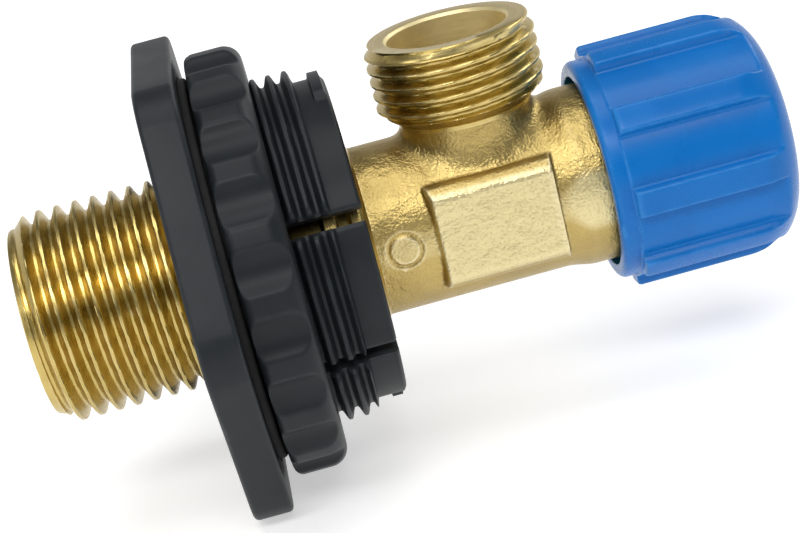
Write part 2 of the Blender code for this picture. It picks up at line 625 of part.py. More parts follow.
def make_spindle():
    """Turns in place: left-hand screw, thrust collar, two seal grooves and a square end."""
    thread_end = THRUST_COLLAR[0] - 1.5 * MM
    core = SPINDLE_ROOT - THREAD_BACKING / 2
    profile = [
        (SPINDLE_TIP, 0.0),
        (SPINDLE_TIP, core),
        (THRUST_COLLAR[0], core),
        (THRUST_COLLAR[0], THRUST_CHAMBER - 0.4 * MM),
        (THRUST_COLLAR[1], THRUST_CHAMBER - 0.4 * MM),
        (THRUST_COLLAR[1], SHAFT),
    ]
    for station in SEAL_STATIONS.values():
        profile += [
            (station - SEAL_GROOVE / 2, SHAFT),
            (station - SEAL_GROOVE / 2, SEAL_FLOOR),
            (station + SEAL_GROOVE / 2, SEAL_FLOOR),
            (station + SEAL_GROOVE / 2, SHAFT),
        ]
    profile += [
        (CIRCLIP_GROOVE[0], SHAFT),
        (CIRCLIP_GROOVE[0], CIRCLIP_FLOOR),
        (CIRCLIP_GROOVE[1], CIRCLIP_FLOOR),
        (CIRCLIP_GROOVE[1], SHAFT),
        (SQUARE_START, SHAFT),
        (SQUARE_START, 0.0),
    ]
    spindle = turned("spindle", profile, BRASS, steps=SMALL_SEGMENTS)
    ridge = thread("join_spindle_thread", (SPINDLE_CREST, SPINDLE_ROOT), LIFT_LEAD,
                   (SPINDLE_TIP - LIFT_LEAD, THRUST_COLLAR[0]), LIFT_STATION, LIFT_FLANK, [
                       (SPINDLE_TIP + 0.1 * MM, 0.0),
                       (SPINDLE_TIP + 0.1 * MM, SPINDLE_ROOT - 0.1 * MM),
                       (SPINDLE_TIP + 3 * GAP, SPINDLE_CREST + 0.1 * MM),
                       (thread_end, SPINDLE_CREST + 0.1 * MM),
                       (thread_end, 0.0),
                   ], steps=SMALL_SEGMENTS, clearance=LIFT_CLEARANCE, left_hand=True)
    square = block("join_spindle_square", (SQUARE_START - OVERLAP, -SQUARE / 2, -SQUARE / 2),
                   (SPINDLE_END, SQUARE / 2, SQUARE / 2))
    combine(spindle, "UNION", ridge, square)
    combine(spindle, "DIFFERENCE", rod("cut_spindle_tapping", KNOB_SCREW_SHANK + 0.2 * MM,
                                       (46.7 * MM, SPINDLE_END + OVERLAP), steps=SMALL_SEGMENTS))


def make_plug():
    """Six-sided plug with a left-hand thread inside and a disc that carries the washer."""
    stem_end = PLUG[1]
    disc_end = PLUG[0] + PLUG_DISC
    bore_foot = disc_end + 0.8 * MM
    plug = turned("valve_plug", [
        (PLUG[0], 0.0),
        (PLUG[0], PLUG_DISC_RADIUS - GAP),
        (PLUG[0] + GAP, PLUG_DISC_RADIUS),
        (disc_end, PLUG_DISC_RADIUS),
        (disc_end, 0.0),
    ], BRASS)
    stem = prism("join_plug_stem", (disc_end - OVERLAP, stem_end),
                 across_flats_to_radius(PLUG_FLATS))
    bore = rod("cut_plug_bore", PLUG_ROOT + THREAD_BACKING / 2, (bore_foot, stem_end + OVERLAP))
    tapping = rod("cut_plug_tapping", 1.5 * MM, (PLUG[0] - OVERLAP, bore_foot - 0.5 * MM),
                  steps=SMALL_SEGMENTS)
    thread_span = (stem_end - 5.5 * MM, stem_end - GAP)
    ridge = thread("join_plug_thread", (PLUG_CREST, PLUG_ROOT), LIFT_LEAD,
                   (thread_span[0] - LIFT_LEAD, thread_span[1] + LIFT_LEAD),
                   LIFT_STATION + LIFT_LEAD / 2, LIFT_FLANK, [
                       (thread_span[0], PLUG_CREST - OVERLAP),
                       (thread_span[0], PLUG_FLATS),
                       (thread_span[1], PLUG_FLATS),
                       (thread_span[1], PLUG_CREST - OVERLAP),
                   ], steps=SMALL_SEGMENTS, clearance=LIFT_CLEARANCE, left_hand=True)
    combine(plug, "UNION", stem)
    combine(plug, "DIFFERENCE", bore, tapping)
    combine(plug, "UNION", ridge)
    washer = (SEAT + GAP, PLUG[0] - GAP)
    ring("seat_washer", washer, 1.5 * MM, 5.9 * MM, BLACK_RUBBER, chamfer=GAP)
    retainer = (washer[0] - 0.9 * MM, washer[0] - GAP)
    ring("washer_retainer", retainer, 1.5 * MM, 4.2 * MM, BRASS)
    head_end = retainer[0] - GAP
    screw = turned("washer_screw", [
        (head_end - 1.2 * MM, 0.0),
        (head_end - 1.2 * MM, 2.2 * MM),
        (head_end - 0.8 * MM, 2.7 * MM),
        (head_end, 2.7 * MM),
        (head_end, 1.2 * MM),
        (bore_foot - 0.8 * MM, 1.2 * MM),
        (bore_foot - 0.8 * MM, 0.0),
    ], BRASS, steps=SMALL_SEGMENTS)
    combine(screw, "DIFFERENCE", block("cut_washer_screw_slot",
                                       (head_end - 1.7 * MM, -3.0 * MM, -0.3 * MM),
                                       (head_end - 0.6 * MM, 3.0 * MM, 0.3 * MM)))


def make_knob_hub():
    """Inner part of the knob: skirt ring, sleeve and a boss with a square socket."""
    lip = (SKIRT_START, GRIP_START - GAP)
    rounding = 0.5 * MM
    sleeve = SKIRT_OPENING + 0.8 * MM
    hub = turned("knob_hub", [
        (lip[0], SKIRT_OPENING + 0.2 * MM),
        *arc((lip[0] + rounding, SKIRT_RADIUS - rounding), rounding, 180, 90, 3),
        (lip[1], SKIRT_RADIUS),
        (lip[1], sleeve),
        (WEB[1] - 0.8 * MM, sleeve),
        (WEB[1], sleeve - 0.8 * MM),
        (WEB[1], KNOB_SCREW_SHANK + GAP),
        (SQUARE_START + 0.2 * MM, KNOB_SCREW_SHANK + GAP),
        (SQUARE_START + 0.2 * MM, 5.4 * MM),
        (WEB[0], 5.4 * MM),
        (WEB[0], SKIRT_OPENING),
        (lip[0] + 0.2 * MM, SKIRT_OPENING),
    ], BLUE_PLASTIC)
    socket = SQUARE / 2 + GAP
    combine(hub, "DIFFERENCE", block("cut_square_socket",
                                     (SQUARE_START - OVERLAP, -socket, -socket),
                                     (WEB[0], socket, socket)))
    washer = (WEB[1] + 0.25 * MM, WEB[1] + 0.75 * MM)
    ring("knob_screw_washer", washer, KNOB_SCREW_SHANK + GAP, 3.3 * MM, STEEL,
         steps=SMALL_SEGMENTS)
    head = (washer[1] + 0.25 * MM, washer[1] + 1.35 * MM)
    screw = turned("knob_screw", [
        (48.0 * MM, 0.0),
        (48.0 * MM, KNOB_SCREW_SHANK),
        (head[0], KNOB_SCREW_SHANK),
        (head[0], 2.8 * MM),
        (head[1] - 0.4 * MM, 2.8 * MM),
        (head[1], 2.2 * MM),
        (head[1], 0.0),
    ], STEEL, steps=SMALL_SEGMENTS)
    for name, high, wide in (("tall", 1.5 * MM, 0.3 * MM), ("wide", 0.3 * MM, 1.5 * MM)):
        combine(screw, "DIFFERENCE", block(f"cut_cross_{name}",
                                           (head[1] - 0.7 * MM, -wide, -high),
                                           (head[1] + OVERLAP, wide, high)))


def make_knob_shell():
    """Fluted cap over the hub, with a domed end."""
    dome = (KNOB_END - KNOB_CORNER[0] - KNOB_CORNER_RADIUS) / KNOB_CORNER[1] ** 2
    dome_radii = [KNOB_CORNER[1] * share for share in (0.8, 0.6, 0.4, 0.2)]
    inner = SKIRT_OPENING + 1.15 * MM
    shell = turned("knob_shell", [
        (GRIP_START, inner),
        (GRIP_START, KNOB_RADIUS - 0.2 * MM),
        (GRIP_START + 0.2 * MM, KNOB_RADIUS),
        *arc(KNOB_CORNER, KNOB_CORNER_RADIUS, 90, 0, 6),
        *[(KNOB_END - dome * radius ** 2, radius) for radius in dome_radii],
        (KNOB_END, 0.0),
        (KNOB_END - 1.6 * MM, 0.0),
        (KNOB_END - 1.6 * MM, 6.0 * MM),
        (KNOB_INSIDE + 3.0 * MM, 8.0 * MM),
        (KNOB_INSIDE + 1.7 * MM, 9.9 * MM),
        (KNOB_INSIDE, inner),
    ], BLUE_PLASTIC, steps=36)
    centre = GROOVE_FLOOR + GROOVE_RADIUS
    for i in range(KNOB_RIBS):
        angle = math.radians(KNOB_FIRST_RIB) + 2 * math.pi * (i + 0.5) / KNOB_RIBS
        across = (centre * math.cos(angle), centre * math.sin(angle))
        combine(shell, "DIFFERENCE", rod(f"cut_groove_{i}", GROOVE_RADIUS,
                                         (GRIP_START - OVERLAP, GROOVE_END), across=across,
                                         steps=48))


def main():
    clear_scene()
    new_collection("angle_stop_valve")
    new_collection("helper_shapes").hide_render = True
    make_flange_bush()
    make_panel_gasket()
    make_clamp_nut()
    make_valve_body()
    make_bonnet()
    make_seals_and_rings()
    make_spindle()
    make_plug()
    make_knob_hub()
    make_knob_shell()
    finish_shading()


main()
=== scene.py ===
import math

import bmesh
import bpy
import numpy as np
from mathutils import Matrix, Vector


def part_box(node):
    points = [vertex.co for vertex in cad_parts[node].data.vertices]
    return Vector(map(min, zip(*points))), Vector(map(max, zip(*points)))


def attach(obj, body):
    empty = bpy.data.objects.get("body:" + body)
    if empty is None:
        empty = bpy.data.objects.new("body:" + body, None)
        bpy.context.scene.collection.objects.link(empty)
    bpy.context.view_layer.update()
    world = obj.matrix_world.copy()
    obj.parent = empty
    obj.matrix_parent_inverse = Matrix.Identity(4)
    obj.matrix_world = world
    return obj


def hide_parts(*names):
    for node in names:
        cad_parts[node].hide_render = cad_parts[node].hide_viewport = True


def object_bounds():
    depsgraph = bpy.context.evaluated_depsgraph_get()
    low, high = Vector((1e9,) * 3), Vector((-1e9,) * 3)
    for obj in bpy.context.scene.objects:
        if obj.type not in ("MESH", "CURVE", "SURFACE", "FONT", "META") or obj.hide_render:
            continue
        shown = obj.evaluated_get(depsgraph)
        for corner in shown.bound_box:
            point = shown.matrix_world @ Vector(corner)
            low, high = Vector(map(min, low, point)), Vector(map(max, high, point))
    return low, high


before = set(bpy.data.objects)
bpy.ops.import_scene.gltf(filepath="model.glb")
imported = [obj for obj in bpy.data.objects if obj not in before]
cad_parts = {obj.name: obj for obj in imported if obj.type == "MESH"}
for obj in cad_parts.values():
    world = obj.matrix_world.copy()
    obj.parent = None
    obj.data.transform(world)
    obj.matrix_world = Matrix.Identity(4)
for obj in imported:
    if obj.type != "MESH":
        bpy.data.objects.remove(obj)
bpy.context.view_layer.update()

# Lengths are in millimetres here and become metres when a mesh is made. Angles about the main
# axis count from +Y towards +Z, and those about the outlet's axis from +X towards +Y.
MM = 0.001

INLET_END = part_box("valve_body")[0].x / MM
BODY_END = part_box("valve_body")[1].x / MM
OUTLET_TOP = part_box("valve_body")[1].z / MM
OUTLET_AXIS = 26.6
WATERWAY = 6.5
BARREL = 8.45
MOUTH_SWELL = 0.45
NECK = 6.45
SEAT = 20.0
SEAT_HOLE = 5.0
CHAMBER = 6.9
CHAMBER_END = 33.3
BONNET_HOLE = 7.4
OUTLET_FOOT_BORE = 5.2
PAD = (20.15, 32.5)
PAD_FACE = 8.9
PAD_REACH = (4.2, 5.15)  # half height of the pad's flat, and of its sloped border
MARK = 17.2
MARK_RADIUS = 1.40
HEX_FLATS = 22.3
RIB_RADIUS = 12.9
SHOULDER_RADIUS = 12.2
SHOULDER_END = 14.1

INLET = {"crest": 10.4775, "root": 9.3155, "pitch": 1.814, "station": -18.24, "flank": 27.5}
OUTLET = {"crest": 8.331, "root": 7.475, "pitch": 1.337, "station": 16.27, "flank": 27.5}
COLLAR = {"crest": 17.35, "root": 16.3, "pitch": 1.6, "station": 10.2, "flank": 25.0}
NUT = {"crest": 16.65, "root": 17.65, "pitch": 1.6, "station": 11.0, "flank": 25.0}

SLOTS = (25.0, 155.0, 205.0, 335.0)
SLOT_WIDTH = 1.4
SLOT_FOOT = 3.0
COLLAR_BORE = 13.5
COLLAR_PLAIN = 16.0
TOOTH_HEIGHT = 0.6
GASKET_BORE = 17.65
FLANGE_FLATS = 44.0
NUT_LOBES = 21
NUT_SCALLOP = 198.0  # degrees to the middle of one scallop
KNOB_RIBS = 9
KNOB_FIRST_RIB = 22.5
CASTING_VOXEL = 0.17


# ---------------------------------------------------------------- meshes

def add_piece(name, points, faces, material, body, stands_for=(), sharp=38.0):
    """A mesh object from points in millimetres, facing outwards and shaded round."""
    mesh = bpy.data.meshes.new(name)
    mesh.from_pydata(np.asarray(points, float) * MM, [], faces)
    shape = bmesh.new()
    shape.from_mesh(mesh)
    bmesh.ops.remove_doubles(shape, verts=shape.verts, dist=0.0005 * MM)
    bmesh.ops.recalc_face_normals(shape, faces=shape.faces)
    if shape.calc_volume(signed=True) < 0:
        bmesh.ops.reverse_faces(shape, faces=shape.faces)
    shape.to_mesh(mesh)
    shape.free()
    mesh.shade_smooth()
    mesh.set_sharp_from_angle(angle=math.radians(sharp))
    obj = bpy.data.objects.new(name, mesh)
    bpy.context.scene.collection.objects.link(obj)
    mesh.materials.append(material)
    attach(obj, body)
    if stands_for:
        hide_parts(*stands_for)


def grid_faces(rows, columns, wrap_rows=True, wrap_columns=True):
    index = np.arange(rows * columns).reshape(rows, columns)
    if wrap_rows:
        index = np.vstack([index, index[:1]])
    if wrap_columns:
        index = np.hstack([index, index[:, :1]])
    quads = [index[:-1, :-1], index[1:, :-1], index[1:, 1:], index[:-1, 1:]]
    return np.stack(quads, -1).reshape(-1, 4)


def around(along, radius, angle, axis="X"):
    """Points at those distances along and from an axis."""
    along, radius, angle = np.broadcast_arrays(along, radius, angle)
    across, up = radius * np.cos(angle), radius * np.sin(angle)
    if axis == "X":
        return np.stack([along, across, up], -1)
    return np.stack([across + OUTLET_AXIS, up, along], -1)


def rounded(corners, steps=5):
    """A closed outline from (along, radius, rounding) corners."""
    points = []
    for i, (along, radius, rounding) in enumerate(corners):
        here = np.array((along, radius))
        back = np.array(corners[i - 1][:2]) - here
        ahead = np.array(corners[(i + 1) % len(corners)][:2]) - here
        reach = 0.49 * min(np.linalg.norm(back), np.linalg.norm(ahead))
        back, ahead = back / np.linalg.norm(back), ahead / np.linalg.norm(ahead)
        half = math.acos(np.clip(back @ ahead, -1, 1)) / 2
        if rounding <= 0 or half > 1.55:
            points.append(here)
            continue
        cut = min(rounding / math.tan(half), reach)
        bulge = cut * math.tan(half)
        middle = (back + ahead) / np.linalg.norm(back + ahead)
        centre = here + middle * bulge / math.sin(half)
        first, last = here + back * cut - centre, here + ahead * cut - centre
        sweep = math.pi - 2 * half
        for step in range(steps + 1):
            share = step / steps
            weights = math.sin((1 - share) * sweep), math.sin(share * sweep)
            points.append(centre + (first * weights[0] + last * weights[1]) / math.sin(sweep))
    return np.array(points)


def refined(outline, spacing, low, high, beyond):
    """The outline with more points where it runs between low and high, further out than beyond."""
    points = []
    ends = np.roll(outline, -1, axis=0)
    for first, last in zip(outline, ends):
        inside = low <= (first[0] + last[0]) / 2 <= high and (first[1] + last[1]) / 2 > beyond
        count = max(1, math.ceil(np.linalg.norm(last - first) / spacing)) if inside else 1
        shares = np.arange(count)[:, None] / count
        points.append(first + (last - first) * shares)
    return np.vstack(points)


def turned(name, outline, angles, material, body, stands_for=(), shape=None, axis="X",
           sharp=38.0):
    """A turned piece whose radius may change with angle; shape takes (angle, along, radius)."""
    angle = np.radians(np.asarray(angles, float))[None, :]
    along, radius = outline[:, :1], outline[:, 1:]
    closed = outline[0, 1] > 1e-9 and outline[-1, 1] > 1e-9
    if shape:
        along, radius = shape(angle, along, radius)
    points = around(along, radius, angle, axis).reshape(-1, 3)
    faces = grid_faces(len(outline), angle.shape[1], wrap_rows=closed)
    add_piece(name, points, faces, material, body, stands_for, sharp)


def even(count):
    return np.arange(count) * 360.0 / count


# ---------------------------------------------------------------- shapes that change with angle

def smooth_step(value):
    value = np.clip(value, 0.0, 1.0)
    return value * value * (3 - 2 * value)


def thread_radius(thread, angle, along, round_off=0.6):
    """Radius of a screw thread whose ridge passes the station at angle 0."""
    pitch, height = thread["pitch"], abs(thread["crest"] - thread["root"])
    away = along - thread["station"] - pitch * angle / (2 * np.pi)
    away = np.abs((away + pitch / 2) % pitch - pitch / 2)
    reach = math.tan(math.radians(thread["flank"])) * height / 2
    rise = np.clip((pitch / 4 + reach - away) / (2 * reach), 0, 1)
    rise = rise * (1 - round_off) + smooth_step(rise) * round_off
    return thread["root"] + (thread["crest"] - thread["root"]) * rise


def hexagon_radius(angle, flats, corner):
    """Radius of a hexagon with corners at 0, 60... degrees, rounded to a radius."""
    turn = (np.asarray(angle) + np.pi / 6) % (np.pi / 3) - np.pi / 6
    flat = flats / 2 / np.cos(np.pi / 6 - np.abs(turn))
    centre = (flats / 2 - corner) / math.cos(math.pi / 6)
    arc = centre * np.cos(turn) + np.sqrt(np.maximum(corner ** 2 - (centre * np.sin(turn)) ** 2, 0))
    reach = math.atan2(corner * 0.5, centre + corner * math.cos(math.pi / 6))
    return np.where(np.abs(turn) < reach, arc, flat)


# ---------------------------------------------------------------- materials

def node(tree, kind, **inputs):
    made = tree.nodes.new(kind)
    for key, value in inputs.items():
        if key in made.inputs:
            made.inputs[key].default_value = value
        else:
            setattr(made, key, value)
    return made


def link(tree, source, target, output=0, into=0):
    tree.links.new(source.outputs[output], target.inputs[into])


def place(tree, axis=None, centre=(0.0, 0.0, 0.0)):
    """Object coordinates in metres; with an axis, (along it, away from it, 0) instead."""
    where = node(tree, "ShaderNodeTexCoord")
    if axis is None:
        return where.outputs["Object"]
    shift = node(tree, "ShaderNodeVectorMath", operation="SUBTRACT")
    tree.links.new(where.outputs["Object"], shift.inputs[0])
    shift.inputs[1].default_value = centre
    keep = node(tree, "ShaderNodeVectorMath", operation="MULTIPLY")
    keep.inputs[1].default_value = (0, 1, 1) if axis == "X" else (1, 1, 0)
    link(tree, shift, keep)
    away = node(tree, "ShaderNodeVectorMath", operation="LENGTH")
    link(tree, keep, away)
    parts = node(tree, "ShaderNodeSeparateXYZ")
    link(tree, shift, parts)
    both = node(tree, "ShaderNodeCombineXYZ")
    link(tree, parts, both, 0 if axis == "X" else 2, 0)
    tree.links.new(away.outputs["Value"], both.inputs[1])
    return both.outputs[0]


def noise(tree, where, size, detail=2.0, roughness=0.5, distortion=0.0):
    made = node(tree, "ShaderNodeTexNoise")
    made.inputs["Scale"].default_value = 1.0 / (size * MM)
    made.inputs["Detail"].default_value = detail
    made.inputs["Roughness"].default_value = roughness
    made.inputs["Distortion"].default_value = distortion
    tree.links.new(where, made.inputs["Vector"])
    return made.outputs["Fac"]


def ramp(tree, value, *stops):
    made = node(tree, "ShaderNodeValToRGB")
    tree.links.new(value, made.inputs[0])
    while len(made.color_ramp.elements) < len(stops):
        made.color_ramp.elements.new(0.5)
    for element, (place_at, colour) in zip(made.color_ramp.elements, stops):
        element.position = place_at
        element.color = (*colour, 1.0) if len(colour) == 3 else colour
    return made.outputs[0]


def grey(level):
    return (level, level, level)


def spread(tree, value, low, high, to_low, to_high):
    made = node(tree, "ShaderNodeMapRange")
    tree.links.new(value, made.inputs["Value"])
    made.inputs["From Min"].default_value = low
    made.inputs["From Max"].default_value = high
    made.inputs["To Min"].default_value = to_low
    made.inputs["To Max"].default_value = to_high
    return made.outputs[0]


def combined(tree, operation, first, second):
    made = node(tree, "ShaderNodeMath", operation=operation)
    for value, socket in ((first, made.inputs[0]), (second, made.inputs[1])):
        if isinstance(value, (int, float)):
            socket.default_value = value
        else:
            tree.links.new(value, socket)
    return made.outputs[0]


def mixed(tree, factor, first, second, how="MIX"):
    made = node(tree, "ShaderNodeMix", data_type="RGBA", blend_type=how)
    for value, socket in ((factor, made.inputs[0]), (first, made.inputs[6]), (second, made.inputs[7])):
        if isinstance(value, (int, float)):
            socket.default_value = value
        elif isinstance(value, tuple):
            socket.default_value = (*value, 1.0)
        else:
            tree.links.new(value, socket)
    return made.outputs[2]


def bumped(tree, shader, *layers):
    """Chains bumps, each a (height, depth in millimetres) pair, onto the shader's normal."""
    normal = None
    for height, depth in layers:
        bump = node(tree, "ShaderNodeBump")
        bump.inputs["Strength"].default_value = 1.0
        bump.inputs["Distance"].default_value = depth * MM
        tree.links.new(height, bump.inputs["Height"])
        if normal:
            tree.links.new(normal, bump.inputs["Normal"])
        normal = bump.outputs[0]
    tree.links.new(normal, shader.inputs["Normal"])


def new_material(name, metallic=0.0, specular=0.5):
    made = bpy.data.materials.new(name)
    made.use_nodes = True
    tree = made.node_tree
    shader = tree.nodes["Principled BSDF"]
    shader.inputs["Metallic"].default_value = metallic
    shader.inputs["Specular IOR Level"].default_value = specular
    return made, tree, shader


def edges(tree, low=0.5, high=0.56):
    """1 on convex edges and 0 elsewhere."""
    geometry = node(tree, "ShaderNodeNewGeometry")
    return spread(tree, geometry.outputs["Pointiness"], low, high, 0.0, 1.0)


def within(tree, value, low, high, soft):
    """1 between low and high, fading to 0 over the soft distance outside them; all in metres."""
    rise = spread(tree, value, (low - soft) * MM, low * MM, 0.0, 1.0)
    fall = spread(tree, value, high * MM, (high + soft) * MM, 1.0, 0.0)
    return combined(tree, "MULTIPLY", rise, fall)


def cast_brass():
    """Shot-blasted casting; painted highlights make the flat wrench pads and its corners paler."""
    made, tree, shader = new_material("cast_brass", metallic=1.0)
    where = place(tree)
    grains = noise(tree, where, 0.25, 2.0, 0.5)
    fine = noise(tree, where, 0.12, 2.0, 0.5)
    broad = noise(tree, where, 1.6, 2.0, 0.5)
    clouds = noise(tree, where, 5.0, 2.0, 0.5)
    parts = node(tree, "ShaderNodeSeparateXYZ")
    tree.links.new(where, parts.inputs[0])
    from_middle = combined(tree, "ABSOLUTE", parts.outputs["Y"], 0.0)
    pads = combined(tree, "MULTIPLY", within(tree, from_middle, 8.6, 12.0, 0.3),
                    within(tree, parts.outputs["Z"], -4.6, 4.6, 0.8))
    tone = mixed(tree, spread(tree, clouds, 0.35, 0.65, 0.0, 1.0),
                 (0.44, 0.325, 0.115), (0.52, 0.39, 0.145))
    # Painted highlight: the flat wrench pads mixed towards pale brass.
    tone = mixed(tree, combined(tree, "MULTIPLY", pads, 0.8), tone, (0.74, 0.645, 0.36))
    tone = mixed(tree, spread(tree, grains, 0.30, 0.50, 0.30, 0.0), tone, (0.36, 0.26, 0.085))
    # Painted highlight: convex corners mixed towards pale brass.
    tone = mixed(tree, combined(tree, "MULTIPLY", edges(tree, 0.502, 0.53), 0.6), tone,
                 (0.82, 0.71, 0.44))
    tree.links.new(tone, shader.inputs["Base Color"])
    rough = combined(tree, "ADD", spread(tree, clouds, 0.3, 0.7, -0.03, 0.03),
                     spread(tree, fine, 0.3, 0.7, 0.33, 0.41))
    tree.links.new(rough, shader.inputs["Roughness"])
    bumped(tree, shader, (broad, 0.16), (grains, 0.065), (fine, 0.018))
    return made


def turned_brass(name, axis, centre=(0.0, 0.0, 0.0), bore=0.0):
    """Machined brass with fine turning marks, rougher inside the bore of that radius, whose wall also gets
    a paler colour as painted light.
    """
    made, tree, shader = new_material(name, metallic=1.0)
    where = place(tree)
    round_axis = place(tree, axis, centre)
    parts = node(tree, "ShaderNodeSeparateXYZ")
    tree.links.new(round_axis, parts.inputs[0])
    away = parts.outputs["Y"]
    rings = noise(tree, round_axis, 0.11, 3.0, 0.6)
    broad = noise(tree, where, 2.2, 3.0, 0.55)
    tone = mixed(tree, spread(tree, broad, 0.35, 0.68, 0.0, 1.0),
                 (0.49, 0.37, 0.115), (0.58, 0.445, 0.16))
    # Painted highlight: convex edges mixed towards pale brass.
    tone = mixed(tree, combined(tree, "MULTIPLY", edges(tree, 0.51, 0.6), 0.6), tone,
                 (0.88, 0.77, 0.46))
    tree.links.new(tone, shader.inputs["Base Color"])
    rough = combined(tree, "ADD", spread(tree, rings, 0.3, 0.7, 0.23, 0.33),
                     spread(tree, broad, 0.3, 0.7, -0.03, 0.05))
    if bore:
        # Painted light: the bore's inner wall mixed towards pale brass so that it reads as lit.
        inside = spread(tree, away, bore * MM, (bore + 0.2) * MM, 0.85, 0.0)
        tree.links.new(mixed(tree, inside, tone, (0.92, 0.80, 0.47)), shader.inputs["Base Color"])
        rough = combined(tree, "ADD", rough, spread(tree, away, bore * MM, (bore + 0.2) * MM, 0.22, 0.0))
    tree.links.new(rough, shader.inputs["Roughness"])
    bumped(tree, shader, (rings, 0.014), (noise(tree, where, 0.5, 2.0), 0.006))
    return made


def moulded(name, dark, light, rough, grain_depth, specular=0.5, highlight_tone=(0.1, 0.11, 0.12),
            highlight_share=0.3):
    """Moulded plastic: clouds of slightly different tone, fine grain and a painted highlight on its edges.
    """
    made, tree, shader = new_material(name, specular=specular)
    where = place(tree)
    clouds = noise(tree, where, 6.0, 3.0, 0.55, 0.4)
    fine = noise(tree, where, 0.22, 2.0, 0.5)
    broad = noise(tree, where, 1.6, 2.0, 0.5)
    tone = mixed(tree, spread(tree, clouds, 0.35, 0.65, 0.0, 1.0), dark, light)
    # Painted highlight: convex edges, patchily, mixed towards the paler edge colour.
    highlit_edges = combined(tree, "MULTIPLY", edges(tree, 0.505, 0.58), spread(tree, broad, 0.35, 0.65, 0.2, 1.0))
    tone = mixed(tree, combined(tree, "MULTIPLY", highlit_edges, highlight_share), tone, highlight_tone)
    tree.links.new(tone, shader.inputs["Base Color"])
    uneven = combined(tree, "ADD", spread(tree, clouds, 0.3, 0.7, -0.04, 0.05),
                      spread(tree, fine, 0.3, 0.7, rough - 0.012, rough + 0.012))
    tree.links.new(uneven, shader.inputs["Roughness"])
    bumped(tree, shader, (broad, grain_depth * 2.0), (fine, grain_depth))
    return made


def rubber():
    made, tree, shader = new_material("black_rubber", specular=0.35)
    where = place(tree)
    fine = noise(tree, where, 0.18, 3.0, 0.6)
    tone = mixed(tree, noise(tree, where, 3.0), (0.010, 0.010, 0.011), (0.030, 0.029, 0.028))
    tree.links.new(tone, shader.inputs["Base Color"])
    tree.links.new(spread(tree, fine, 0.3, 0.7, 0.62, 0.8), shader.inputs["Roughness"])
    bumped(tree, shader, (fine, 0.02))
    return made


def steel():
    made, tree, shader = new_material("plain_steel", metallic=1.0)
    where = place(tree)
    rings = noise(tree, place(tree, "X"), 0.09, 3.0, 0.6)
    tone = mixed(tree, noise(tree, where, 1.5), (0.50, 0.50, 0.51), (0.66, 0.66, 0.66))
    tree.links.new(tone, shader.inputs["Base Color"])
    tree.links.new(spread(tree, rings, 0.3, 0.7, 0.22, 0.36), shader.inputs["Roughness"])
    bumped(tree, shader, (rings, 0.01))
    return made


def fibre():
    made, tree, shader = new_material("red_fibre", specular=0.3)
    where = place(tree)
    strands = noise(tree, where, 0.25, 4.0, 0.65, 1.5)
    tone = mixed(tree, strands, (0.26, 0.045, 0.025), (0.46, 0.12, 0.07))
    tree.links.new(tone, shader.inputs["Base Color"])
    tree.links.new(spread(tree, strands, 0.3, 0.7, 0.7, 0.88), shader.inputs["Roughness"])
    bumped(tree, shader, (strands, 0.03))
    return made


CAST = cast_brass()
TURNED = turned_brass("turned_brass", "X")
TURNED_OUTLET = turned_brass("turned_brass_outlet", "Z", (OUTLET_AXIS * MM, 0.0, 0.0), 6.1)
# The last colour given to each plastic is the painted highlight on its convex edges.
GREY = moulded("grey_plastic", (0.0105, 0.0130, 0.0155), (0.0145, 0.0175, 0.0200), 0.44, 0.0025,
               specular=0.20, highlight_tone=(0.075, 0.085, 0.095))
BLUE = moulded("blue_plastic", (0.002, 0.128, 0.435), (0.003, 0.142, 0.470), 0.27, 0.0004,
               specular=0.22, highlight_tone=(0.07, 0.32, 0.72), highlight_share=0.45)
WHITE = moulded("white_plastic", (0.72, 0.71, 0.67), (0.8, 0.79, 0.75), 0.42, 0.004,
                highlight_tone=(0.85, 0.84, 0.8))
RUBBER = rubber()
STEEL = steel()
FIBRE = fibre()


# ---------------------------------------------------------------- brass body

def smooth_min(first, second, reach):
    mix = np.clip(0.5 + 0.5 * (second - first) / reach, 0, 1)
    return second + (first - second) * mix - reach * mix * (1 - mix)


def smooth_max(first, second, reach):
    return -smooth_min(-first, -second, reach)


